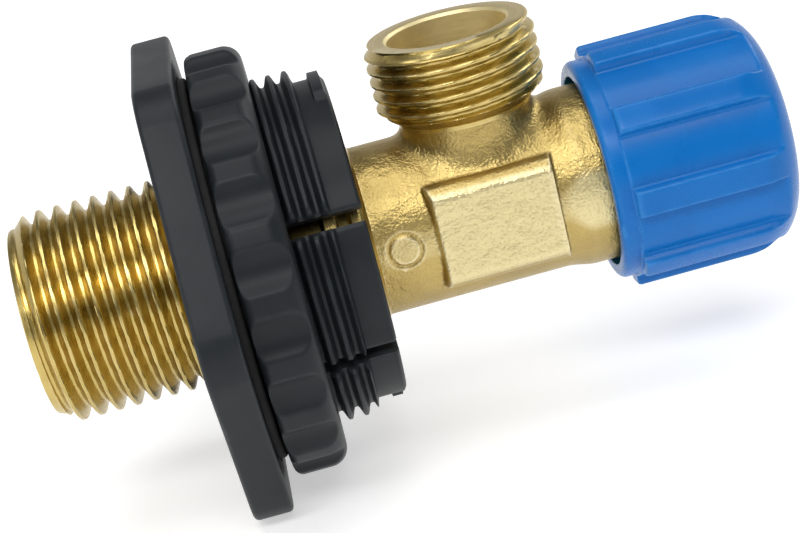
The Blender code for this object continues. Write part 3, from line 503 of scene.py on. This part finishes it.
def casting_distance(points):
    """Roughly the distance out of the casting's surface: barrel, branch, wrench pads and mark."""
    x, y, z = points[..., 0], points[..., 1], points[..., 2]
    from_axis = np.hypot(y, z)
    swell = MOUTH_SWELL * smooth_step((x - 32.6) / 3.0)
    barrel = from_axis - BARREL - swell
    branch = np.hypot(x - OUTLET_AXIS, y) - NECK
    branch = np.maximum(branch, 4.0 - z)
    shape = smooth_min(barrel, branch, 1.7)
    depth = np.abs(y) - PAD_FACE
    inward = np.minimum(depth, 0.0)
    sides = ((depth, 0.0), ((np.abs(z) - PAD_REACH[0] + 0.9 * inward) * 0.74, 0.35),
             (np.abs(z) - PAD_REACH[1], 0.35), ((x - PAD[1] + 0.12 * inward) * 0.99, 0.15),
             ((PAD[0] + 0.5 - x + 0.35 * inward) * 0.94, 0.35), (PAD[0] - x, 0.35))
    pad = 5.0 - np.abs(y)
    for side, rounding in sides:
        pad = smooth_max(pad, side, rounding) if rounding else np.maximum(pad, side)
    shape = smooth_min(shape, pad, 0.3)
    across = np.hypot(x - MARK, z)
    disc = smooth_max(across - MARK_RADIUS, -BARREL - 0.01 - y, 0.10)
    disc = np.maximum(disc, y + 7.0)
    shape = smooth_min(shape, disc, 0.10)
    groove = 0.20 - np.hypot(across - MARK_RADIUS - 0.22, from_axis - BARREL - 0.07)
    shape = np.where(y < 0, smooth_max(shape, groove, 0.08), shape)
    hollow = np.maximum(from_axis - CHAMBER, SEAT - 0.8 - x)
    hollow = np.minimum(hollow, np.maximum(from_axis - BONNET_HOLE, CHAMBER_END - x))
    through = np.minimum(np.maximum(from_axis - 6.8, x - 17.0), from_axis - SEAT_HOLE - 0.3)
    hollow = np.minimum(hollow, np.maximum(through, x - SEAT))
    bore = np.maximum(np.hypot(x - OUTLET_AXIS, y) - OUTLET_FOOT_BORE, -z)
    shape = np.maximum(shape, -np.minimum(hollow, bore))
    ends = np.maximum(14.3 - x, x - BODY_END)
    return smooth_max(smooth_max(shape, ends, 0.3), z - 10.4, 0.1)


def surface_nets(distance, low, high, voxel):
    """Points and faces of the surface where distance is 0, one point in each cell it crosses."""
    counts = [int(math.ceil((b - a) / voxel)) + 1 for a, b in zip(low, high)]
    lines = [a + voxel * np.arange(n) for a, n in zip(low, counts)]
    grid = np.stack(np.meshgrid(*lines, indexing="ij"), -1)
    values = np.concatenate([distance(slab) for slab in np.array_split(grid, 12)])
    inside = values < 0
    total = np.zeros([n - 1 for n in counts] + [3])
    hits = np.zeros([n - 1 for n in counts])
    for axis in range(3):
        others = [a for a in range(3) if a != axis]
        near = [slice(None)] * 3
        far = [slice(None)] * 3
        near[axis], far[axis] = slice(0, -1), slice(1, None)
        near, far = tuple(near), tuple(far)
        crossing = inside[near] != inside[far]
        share = np.where(crossing, values[near] / np.where(crossing, values[near] - values[far], 1), 0)
        at = grid[near].copy()
        at[..., axis] += share * voxel
        at[~crossing] = 0
        for shift in ((0, 0), (0, 1), (1, 0), (1, 1)):
            cut = [slice(None)] * 3
            for other, step in zip(others, shift):
                cut[other] = slice(step, counts[other] - 1 + step)
            total += at[tuple(cut)]
            hits += crossing[tuple(cut)]
    used = hits > 0
    index = np.full(used.shape, -1)
    index[used] = np.arange(used.sum())
    points = total[used] / hits[used][:, None]
    faces = []
    for axis in range(3):
        first, second = [a for a in range(3) if a != axis]
        near = [slice(1, -1)] * 3
        far = [slice(1, -1)] * 3
        near[axis], far[axis] = slice(0, -1), slice(1, None)
        crossing = inside[tuple(near)] != inside[tuple(far)]
        corners = []
        for step_first, step_second in ((0, 0), (1, 0), (1, 1), (0, 1)):
            cut = [slice(None)] * 3
            cut[first] = slice(step_first, counts[first] - 2 + step_first)
            cut[second] = slice(step_second, counts[second] - 2 + step_second)
            corners.append(index[tuple(cut)][crossing])
        quads = np.stack(corners, -1)
        outward = inside[tuple(near)][crossing]
        flip = outward if axis != 1 else ~outward
        quads[~flip] = quads[~flip][:, ::-1]
        faces.append(quads)
    for _ in range(4):
        step = 0.02
        slope = np.stack([distance(points + step * unit) - distance(points - step * unit)
                          for unit in np.eye(3)], -1) / (2 * step)
        size = np.maximum((slope ** 2).sum(-1), 0.25)
        move = slope * (distance(points) / size)[:, None]
        points = points - np.clip(move, -voxel / 2, voxel / 2)
    return points, np.vstack(faces)


def make_body():
    voxel = CASTING_VOXEL
    points, faces = surface_nets(casting_distance, (14.0, -9.6, -9.6), (BODY_END + 0.4, 9.6, 10.8), voxel)
    add_piece("body_casting", points, faces, CAST, "valve", ["valve_body"], sharp=50.0)

    outline = rounded([
        (INLET_END, WATERWAY + 0.25, 0.1), (INLET_END, 9.25, 0.12), (INLET_END + 0.75, 9.5, 0.3),
        (INLET_END + 1.7, INLET["crest"], 0.3), (-3.1, INLET["crest"], 0.2),
        (-2.2, 9.45, 0.2), (-0.8, 9.45, 0.0), (-0.8, WATERWAY, 0.0), (INLET_END + 0.5, WATERWAY, 0.2),
    ])
    outline = refined(outline, 0.075, INLET_END - 0.2, -1.9, beyond=9.0)
    turned("inlet_thread", outline, even(160), TURNED, "valve",
           shape=lambda a, x, r: (x, np.minimum(r, thread_radius(INLET, a, x, 0.12))))

    turned("bush_seat", rounded([
        (-1.1, 8.0, 0.0), (-1.1, 12.6, 0.25), (1.4, 12.6, 0.25), (1.4, 8.0, 0.0),
    ]), even(180), TURNED, "valve", shape=lambda a, x, r: (
        x, np.where(r > 9.0, r - 12.6 + hexagon_radius(a, HEX_FLATS, 0.8), r)))
    turned("bush_ribs", rounded([
        (-0.9, WATERWAY, 0.0), (-0.9, 10.4775, 0.2), (10.2, 10.4775, 0.3), (10.2, RIB_RADIUS, 0.2),
        (11.5, RIB_RADIUS, 0.2), (11.5, 11.0, 0.3), (12.8, 11.0, 0.3),
        (12.8, SHOULDER_RADIUS, 0.2),
        (SHOULDER_END, SHOULDER_RADIUS, 0.35), (SHOULDER_END, 9.2, 0.3), (14.6, 8.5, 0.2), (14.6, 8.0, 0.0),
        (15.2, 7.6, 0.0), (15.2, 6.8, 0.0), (15.0, WATERWAY, 0.0),
    ]), even(128), TURNED, "valve")
    turned("valve_seat", rounded([
        (14.9, 8.2, 0.0), (14.9, WATERWAY, 0.1), (15.5, WATERWAY, 0.1), (16.5, SEAT_HOLE, 0.1),
        (SEAT, SEAT_HOLE, 0.1), (SEAT, 5.9, 0.1), (19.2, 6.1, 0.1), (19.2, 7.2, 0.0), (19.2, 8.2, 0.0),
    ]), even(96), TURNED, "valve")

    top = OUTLET_TOP
    outline = rounded([
        (9.5, 6.2, 0.0), (9.5, 6.55, 0.0), (10.0, 6.7, 0.2), (11.3, OUTLET["crest"], 0.25),
        (top - 1.05, OUTLET["crest"], 0.25), (top - 0.85, 8.0, 0.1), (top, 8.0, 0.3), (top, 6.15, 0.12),
        (top - 0.3, 5.9, 0.1),
        (9.6, 5.9, 0.1), (9.0, 5.2, 0.1), (8.4, 5.2, 0.0), (8.4, 5.6, 0.0),
    ])
    outline = refined(outline, 0.07, 9.9, top - 0.9, beyond=6.9)
    turned("outlet_thread", outline, even(144), TURNED_OUTLET, "valve", axis="Z",
           shape=lambda a, x, r: (x, np.minimum(r, thread_radius(OUTLET, a, x, 0.15))))


# ---------------------------------------------------------------- bush, gasket and ring nut

def flange_angles():
    """Closer together in the rounded corners than along the flats."""
    corner = np.linspace(-6.0, 6.0, 25)
    flat = np.linspace(6.0, 54.0, 13)[1:-1]
    return np.concatenate([np.concatenate([corner, flat]) + 60.0 * k for k in range(6)])


def make_flange():
    corner, edge = 6.0, 0.5
    outline = rounded([
        (-3.4, 11.3, 0.2), (-3.4, 30.0, edge), (0.5, 30.0, edge), (0.5, 19.45, 0.1),
        (0.0, 19.45, 0.1), (0.0, 17.4, 0.1), (0.5, 17.4, 0.1), (0.5, 16.4, 0.0), (0.0, 11.3, 0.0),
    ], steps=6)
    turned("bush_flange", outline, flange_angles(), GREY, "valve", ["flange_bush"],
           shape=lambda a, x, r: (
               x, np.where(r > 20.0, r - 30.0 + hexagon_radius(a, FLANGE_FLATS, corner), r)))


def collar_angles(radius):
    """Angles of the columns at that radius, with a pair at the walls of every slot, and whether
    the strip after each column is a slot."""
    angles, open_strip = [], []
    half = np.degrees(np.arcsin(SLOT_WIDTH / 2 / radius))
    for i, slot in enumerate(SLOTS):
        following = SLOTS[(i + 1) % len(SLOTS)] + (360.0 if i == len(SLOTS) - 1 else 0.0)
        first, last = slot + half, following - half
        count = max(8, int(round((following - slot) / 1.6)))
        share = np.linspace(0.0, 1.0, count)
        share = 0.5 * share + 0.5 * (0.5 - 0.5 * np.cos(np.pi * share))
        angles += list(first + (last - first) * share)
        open_strip += [False] * (count - 1) + [True]
    return np.array(angles), np.array(open_strip)


def make_collar():
    """Threaded collar with four slots: an outer and an inner skin joined by walls."""
    plain, bore, end = COLLAR_PLAIN, COLLAR_BORE, SHOULDER_END
    rows = np.concatenate([np.linspace(-0.3, SLOT_FOOT, 40), np.linspace(SLOT_FOOT, end, 140)[1:]])
    outer_angle, open_strip = collar_angles(COLLAR["root"])
    inner_angle, _ = collar_angles(bore)
    outer_radians, inner_radians = np.radians(outer_angle)[None, :], np.radians(inner_angle)[None, :]
    along = rows[:, None]
    to_slot = np.min([np.abs((outer_angle - s + 180) % 360 - 180) for s in SLOTS], axis=0)
    from_wall = (to_slot[None, :] * math.pi / 180 * COLLAR["root"] - SLOT_WIDTH / 2)
    fade = np.sqrt(np.clip(1 - (1 - np.clip(from_wall / 0.9, 0, 1)) ** 2, 0, 1))
    fade = np.where(along < SLOT_FOOT - 0.4, 1.0, fade)
    outer = COLLAR["root"] + (thread_radius(COLLAR, outer_radians, along, 0.5) - COLLAR["root"]) * fade
    run_out = smooth_step((along - 10.9) / 0.35)
    outer = outer * (1 - run_out) + plain * run_out
    tooth = np.min([np.abs((outer_angle - c + 180) % 360 - 180) for c in (90.0, 270.0)], axis=0)
    lift = smooth_step((14.6 - tooth[None, :]) / 0.9)
    lift = lift * smooth_step((along - end + 1.55) / 0.12) * smooth_step((end - 0.28 - along) / 0.12)
    outer = outer + TOOTH_HEIGHT * lift
    outer = outer - 0.35 * smooth_step((along - end + 0.35) / 0.35) ** 2
    side = 1 - np.clip(from_wall / 0.25, 0, 1)
    outer = outer - 0.12 * side ** 2 * (along > SLOT_FOOT)
    inner = bore + 0.25 * smooth_step((along - end + 0.4) / 0.4)
    outer_points = around(along, outer, outer_radians)
    inner_points = around(along, inner, inner_radians)
    count = outer_points.shape[0] * outer_points.shape[1]
    points = np.vstack([outer_points.reshape(-1, 3), inner_points.reshape(-1, 3)])
    rows_count, columns = outer_points.shape[:2]
    index = np.arange(count).reshape(rows_count, columns)
    solid = ~(open_strip[None, :] & (rows[:-1, None] >= SLOT_FOOT - 1e-6))
    after = np.roll(index, -1, axis=1)
    quads = np.stack([index[:-1], index[1:], after[1:], after[:-1]], -1)
    outer_faces = quads[np.broadcast_to(solid, quads.shape[:2])]
    faces = [outer_faces, outer_faces[:, ::-1] + count]
    edges_found = {}
    for face in outer_faces.tolist():
        for first, last in zip(face, face[1:] + face[:1]):
            key = (min(first, last), max(first, last))
            edges_found[key] = None if key in edges_found else (first, last)
    walls = [(last, first, first + count, last + count) for pair in edges_found.values() if pair
             for first, last in [pair]]
    faces.append(np.array(walls))
    add_piece("bush_collar", points, np.vstack(faces), GREY, "valve", sharp=44.0)
    for name, middle in (("bush_rear_lip", 0.0), ("bush_front_lip", 180.0)):
        make_lip(name, middle)


def make_lip(name, middle):
    """Lip inside a sprung finger, between the body's two ribs."""
    outline = rounded([(11.8, 11.3, 0.15), (11.8, 14.0, 0.0), (12.5, 14.0, 0.0), (12.5, 11.3, 0.15)])
    angles = np.radians(np.linspace(middle - 20.0, middle + 20.0, 41))[None, :]
    points = around(outline[:, :1], outline[:, 1:], angles)
    rows, columns = points.shape[:2]
    faces = grid_faces(rows, columns, wrap_columns=False).tolist()
    faces.append([row * columns for row in range(rows)])
    faces.append([row * columns + columns - 1 for row in range(rows)][::-1])
    add_piece(name, points.reshape(-1, 3), faces, GREY, "valve")


def make_gasket():
    low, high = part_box("panel_gasket")
    outer = high.z / MM
    turned("gasket_ring", rounded([
        (low.x / MM, GASKET_BORE, 0.2), (low.x / MM, outer, 0.3), (high.x / MM, outer, 0.3),
        (high.x / MM, GASKET_BORE, 0.2),
    ]), even(128), RUBBER, "gasket", ["panel_gasket"])


def make_nut():
    """Ring nut: shallow scallops cut across a rounded rim, and a thread inside."""
    radius, scallop, depth = 21.3, 3.4, 0.85
    centre = radius - depth + scallop

    def scalloped(angle, along, distance):
        turn = (angle - math.radians(NUT_SCALLOP)) % (2 * np.pi / NUT_LOBES)
        turn = np.minimum(turn, 2 * np.pi / NUT_LOBES - turn)
        under = np.maximum(scallop ** 2 - (centre * np.sin(turn)) ** 2, 0.0)
        bite = np.where(under > 0, centre * np.cos(turn) - np.sqrt(under), 99.0)
        outside = smooth_min(distance, np.broadcast_to(bite, np.broadcast(distance, bite).shape), 0.12)
        result = np.where(distance > 19.2, outside, distance)
        threaded = np.maximum(distance, thread_radius(NUT, angle, along, 0.5))
        return along, np.where(distance < 18.2, threaded, result)

    outline = rounded([
        (1.5, 17.5, 0.1), (1.5, radius, 0.9), (7.0, radius, 1.9), (7.0, 17.5, 0.1),
        (6.4, NUT["crest"], 0.1), (2.1, NUT["crest"], 0.1),
    ], steps=9)
    outline = refined(outline, 0.16, 1.4, 7.1, beyond=16.0)
    turned("ring_nut", outline, even(NUT_LOBES * 24), GREY, "ring_nut", ["clamp_nut"],
           shape=scalloped, sharp=50.0)


# ---------------------------------------------------------------- knob

def make_knob():
    ribs, floor, radius = KNOB_RIBS, 11.25, 12.3
    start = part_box("knob_shell")[0].x / MM
    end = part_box("knob_shell")[1].x / MM
    corner, corner_at = 4.9, (51.0, 7.4)

    def fluted(angle, along, distance):
        turn = (angle - math.radians(KNOB_FIRST_RIB) + math.pi / ribs) % (2 * math.pi / ribs)
        away = np.abs(turn - math.pi / ribs) * radius
        rise = smooth_step((1.65 - away) / 0.55)
        groove = floor + (radius + 0.3 - floor) * rise
        cut = -smooth_max(-distance, -groove, 0.12)
        return along, np.where(distance > 11.0, np.minimum(cut, distance), distance)

    bend = [(corner_at[0] + corner * math.sin(a), corner_at[1] + corner * math.cos(a))
            for a in np.linspace(0, math.pi / 2, 28)[1:]]
    dome = (end - corner_at[0] - corner) / corner_at[1] ** 2
    cap = [(end - dome * r * r, r) for r in np.linspace(corner_at[1], 0.0, 20)[1:]]
    side = [(x, radius) for x in np.linspace(start + 0.3, corner_at[0], 30)]
    lip = [(start, radius - 0.3), (start + 0.09, radius - 0.09)]
    inner = [(start, 10.75)]
    inside = [(end - 1.6, 0.0), (end - 1.6, 6.0), (54.9, 8.0), (53.6, 9.9), (51.9, 10.75)]
    outline = np.array(inside + inner + lip + side + bend + cap)
    turned("knob_grip", outline, even(ribs * 56), BLUE, "handwheel", ["knob_shell"],
           shape=fluted, sharp=60.0)
    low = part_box("knob_hub")[0].x / MM
    turned("knob_skirt", rounded([
        (low, 9.6, 0.15), (low, 11.05, 1.05), (39.0, 11.0, 0.15), (39.35, 11.2, 0.0), (39.35, 10.3, 0.0),
        (40.6, 10.3, 0.0), (52.6, 10.3, 0.1), (52.6, 6.0, 0.0), (51.9, 6.0, 0.0), (51.9, 9.6, 0.2),
    ], steps=8), even(160), BLUE, "handwheel", ["knob_hub"])


# ---------------------------------------------------------------- the rest

def finish_cad_nodes():
    looks = {
        "bonnet": TURNED, "spindle": TURNED, "valve_plug": TURNED, "washer_retainer": TURNED,
        "washer_screw": TURNED, "bonnet_gasket": FIBRE, "thrust_washer": WHITE,
        "spindle_o_ring_inner": RUBBER, "spindle_o_ring_outer": RUBBER, "seat_washer": RUBBER,
        "panel_gasket": RUBBER, "spindle_circlip": STEEL, "knob_screw": STEEL,
        "knob_screw_washer": STEEL, "knob_hub": BLUE, "knob_shell": BLUE, "clamp_nut": GREY,
        "flange_bush": GREY, "valve_body": CAST,
    }
    for name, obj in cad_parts.items():
        obj.data.materials.clear()
        obj.data.materials.append(looks[name])


def make_stage():
    made, tree, shader = new_material("pale_floor", specular=0.2)
    where = place(tree)
    tone = mixed(tree, noise(tree, where, 60.0), (0.72, 0.72, 0.72), (0.76, 0.76, 0.76))
    tree.links.new(tone, shader.inputs["Base Color"])
    shader.inputs["Roughness"].default_value = 0.85
    shader.inputs["Emission Color"].default_value = (1.0, 1.0, 1.0, 1.0)
    shader.inputs["Emission Strength"].default_value = 0.5
    mesh = bpy.data.meshes.new("floor")
    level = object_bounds()[0].z - 0.0004
    reach = 6.0
    mesh.from_pydata([(-reach, -reach, level), (reach, -reach, level), (reach, reach, level),
                      (-reach, reach, level)], [], [(0, 1, 2, 3)])
    floor = bpy.data.objects.new("floor", mesh)
    bpy.context.scene.collection.objects.link(floor)
    mesh.materials.append(made)


def add_light(name, target, azimuth, elevation, distance, size, power):
    """A soft rectangular lamp round the object; azimuth 0 is on the -Y side, and 90 on +X."""
    a, e = math.radians(azimuth), math.radians(elevation)
    way = Vector((math.sin(a) * math.cos(e), -math.cos(a) * math.cos(e), math.sin(e)))
    lamp = bpy.data.lights.new(name, "AREA")
    lamp.shape = "RECTANGLE"
    lamp.size, lamp.size_y = size
    lamp.energy = power
    obj = bpy.data.objects.new(name, lamp)
    obj.location = Vector(target) + way * distance
    obj.rotation_euler = (-way).to_track_quat("-Z", "Y").to_euler()
    bpy.context.scene.collection.objects.link(obj)


def make_lights():
    """A long lamp above the camera, a broad one overhead, and weak ones from both sides."""
    target = (0.019, 0.0, 0.0)
    add_light("key_light", target, -12, 44, 0.6, (0.55, 0.12), 1.9)
    add_light("top_light", target, -10, 84, 0.7, (0.6, 0.35), 1.9)
    add_light("left_light", target, -68, 14, 0.7, (0.22, 0.4), 0.9)
    add_light("right_light", target, 118, 38, 0.7, (0.3, 0.3), 1.1)
    world = bpy.data.worlds.new("studio")
    world.use_nodes = True
    bpy.context.scene.world = world
    tree = world.node_tree
    tree.nodes.clear()
    where = node(tree, "ShaderNodeTexCoord")
    parts = node(tree, "ShaderNodeSeparateXYZ")
    tree.links.new(where.outputs["Generated"], parts.inputs[0])
    height = spread(tree, parts.outputs["Z"], -1.0, 1.0, 0.0, 1.0)
    front = ramp(tree, height, (0.0, grey(0.8)), (0.46, grey(0.55)), (0.51, grey(0.10)),
                 (0.64, grey(0.10)), (0.76, grey(0.30)), (0.88, grey(0.16)), (1.0, grey(0.35)))
    back = ramp(tree, height, (0.0, grey(0.8)), (0.48, grey(0.8)), (0.66, grey(0.75)),
                (0.78, grey(0.14)), (1.0, grey(0.35)))
    room = mixed(tree, spread(tree, parts.outputs["Y"], -0.1, 0.4, 0.0, 1.0), front, back)
    soft = node(tree, "ShaderNodeBackground")
    tree.links.new(room, soft.inputs["Color"])
    seen = node(tree, "ShaderNodeBackground")
    seen.inputs["Color"].default_value = (1.0, 1.0, 1.0, 1.0)
    path = node(tree, "ShaderNodeLightPath")
    choose = node(tree, "ShaderNodeMixShader")
    out = node(tree, "ShaderNodeOutputWorld")
    tree.links.new(path.outputs["Is Camera Ray"], choose.inputs[0])
    link(tree, soft, choose, 0, 1)
    link(tree, seen, choose, 0, 2)
    link(tree, choose, out)


def make_camera():
    """Looks at the valve from its marked side, slightly from above, with the knob end raised."""
    azimuth, elevation, roll = math.radians(-2.5), math.radians(19.8), math.radians(-14.4)
    way = Vector((math.sin(azimuth) * math.cos(elevation), -math.cos(azimuth) * math.cos(elevation),
                  math.sin(elevation)))
    camera = bpy.data.cameras.new("camera")
    camera.sensor_width = 36.0
    camera.lens = 91.7
    camera.clip_start, camera.clip_end = 0.01, 20.0
    obj = bpy.data.objects.new("camera", camera)
    target = Vector((0.0167, 0.0, -0.0044))
    level = (-way).to_track_quat("-Z", "Y").to_matrix().to_4x4()
    obj.matrix_world = Matrix.Translation(target + way * 0.2023) @ level @ Matrix.Rotation(roll, 4, "Z")
    bpy.context.scene.collection.objects.link(obj)
    bpy.context.scene.camera = obj


make_body()
make_flange()
make_collar()
make_gasket()
make_nut()
make_knob()
finish_cad_nodes()
make_stage()
make_lights()
make_camera()
bpy.context.scene.view_settings.view_transform = "Standard"
